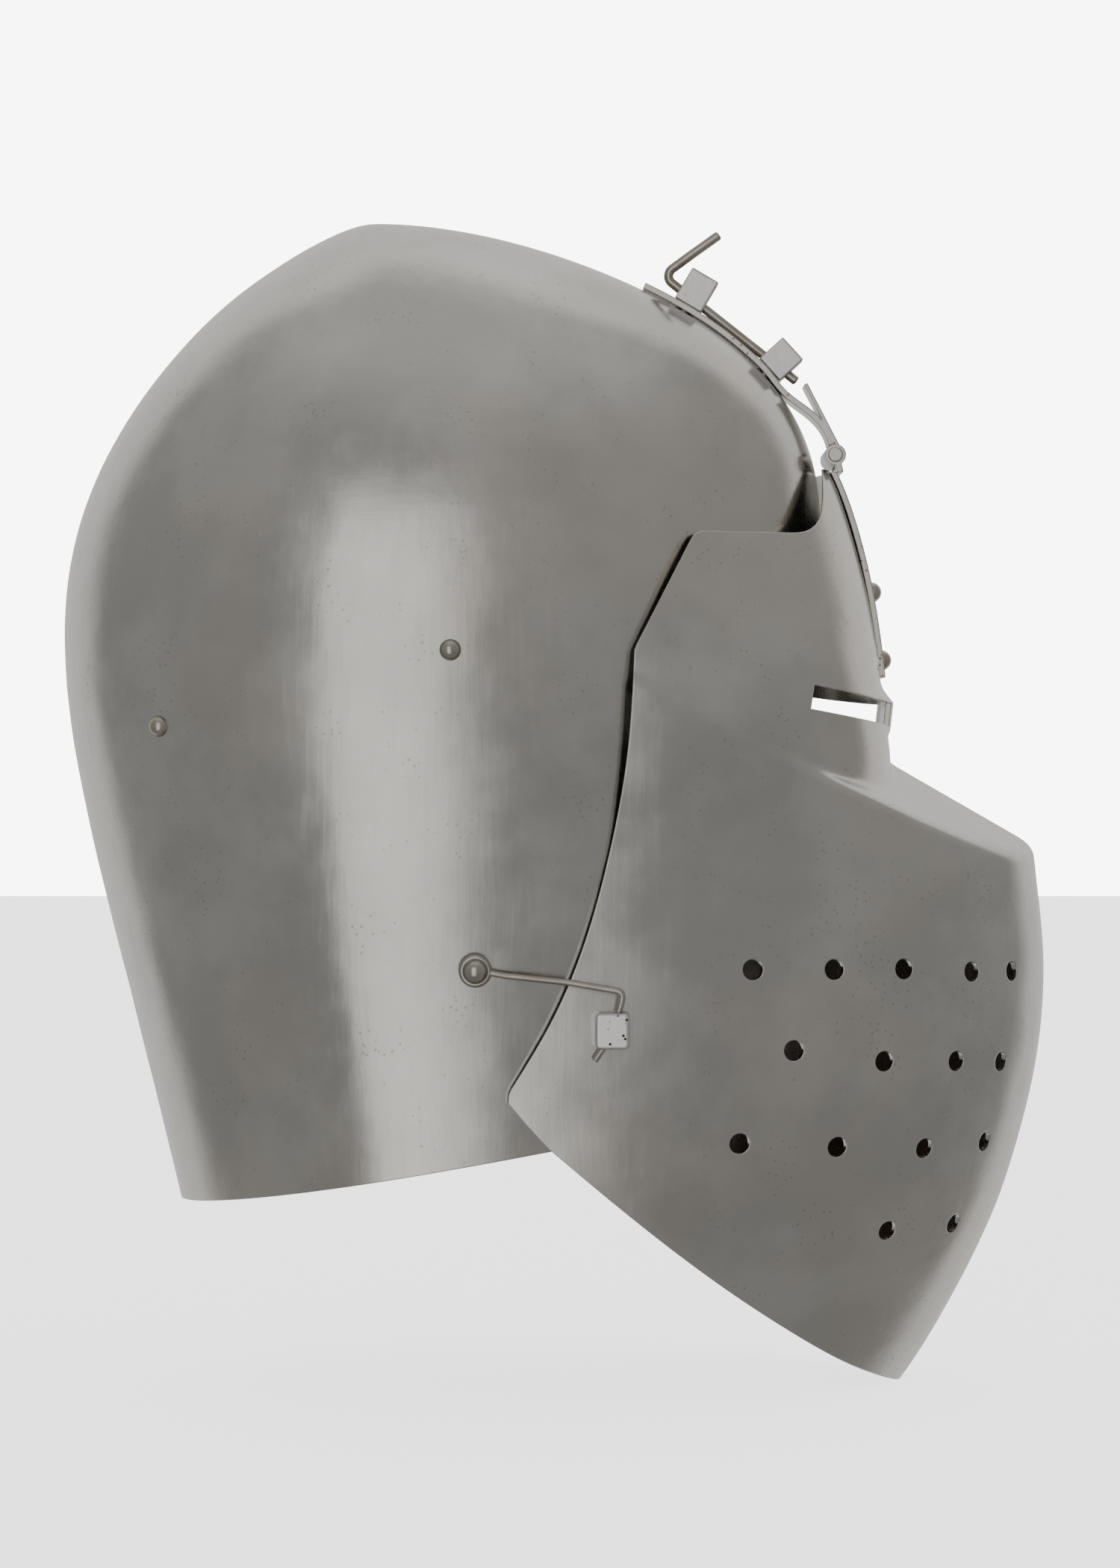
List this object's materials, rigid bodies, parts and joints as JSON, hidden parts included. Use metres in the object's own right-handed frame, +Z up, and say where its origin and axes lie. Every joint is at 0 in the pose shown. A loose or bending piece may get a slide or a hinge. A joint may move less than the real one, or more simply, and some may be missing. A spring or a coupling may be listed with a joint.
{
  "type": "knight helmet",
  "caption": "Bascinet with a pointed skull, a face visor on a brow hinge with a drawn locking pin, wire side latches and a leather liner.",
  "frame": {"origin": "middle of the head cavity, level with the temple rivets", "axes": "+X the way the wearer looks, +Y the wearer's left, +Z up"},
  "size_m": [0.3268, 0.2122, 0.3852],
  "materials": {
    "polished_steel": "polished raised steel plate with faint planishing marks and scratches",
    "bright_steel": "filed bright steel with small rust specks",
    "hinge_steel": "worn polished steel strap",
    "wire_steel": "drawn steel wire, brazed tint at the eye",
    "rivet_steel": "domed steel rivets, slightly yellowed",
    "liner_leather": "undyed vegetable tanned liner leather",
    "strap_leather": "brown harness leather",
    "thong_leather": "rawhide lace",
    "buckle_brass": "plain brass buckle"
  },
  "bodies": {
    "root": {"skull_shell": "polished_steel", "upper_hinge_strap": "hinge_steel", "upper_staple": "bright_steel", "lower_staple": "bright_steel", "liner_rivets": "rivet_steel", "liner_rivet_washers": "rivet_steel", "latch_rivet_washers": "rivet_steel", "latch_rivet_left": "rivet_steel", "latch_rivet_right": "rivet_steel", "liner_band": "liner_leather", "liner_tongues": "liner_leather", "crown_thong": "thong_leather", "chin_strap_left": "strap_leather", "chin_strap_right": "strap_leather", "chin_buckle_frame": "buckle_brass", "chin_buckle_prong": "buckle_brass", "chin_strap_keeper": "strap_leather"},
    "visor": {"visor_shell": "polished_steel", "lower_hinge_strap": "hinge_steel", "lower_hinge_rivets": "rivet_steel", "lower_hinge_washers": "rivet_steel", "hinge_pin": "hinge_steel", "latch_staple_left": "bright_steel", "latch_staple_right": "bright_steel"},
    "latch_right": {"latch_wire_right": "wire_steel"},
    "latch_left": {"latch_wire_left": "wire_steel"},
    "locking_pin": {"brow_locking_pin": "wire_steel"}
  },
  "joints": [
    {"name": "visor_hinge", "type": "hinge", "parent": "root", "child": "visor", "pos_m": [0.1289, 0, 0.06425], "axis": [0, -1, 0], "range_deg": [0, 100]},
    {"name": "latch_right_swing", "type": "hinge", "parent": "root", "child": "latch_right", "pos_m": [0.0112, -0.09829, -0.1029], "axis": [0, -0.998, -0.0626], "range_deg": [0, 110]},
    {"name": "latch_left_swing", "type": "hinge", "parent": "root", "child": "latch_left", "pos_m": [0.0112, 0.09829, -0.1029], "axis": [0, -0.998, 0.0626], "range_deg": [0, 110]},
    {"name": "locking_pin_draw", "type": "slide", "parent": "root", "child": "locking_pin", "axis": [-0.7845, 0, 0.6202], "range_m": [0, 0.062]}
  ]
}
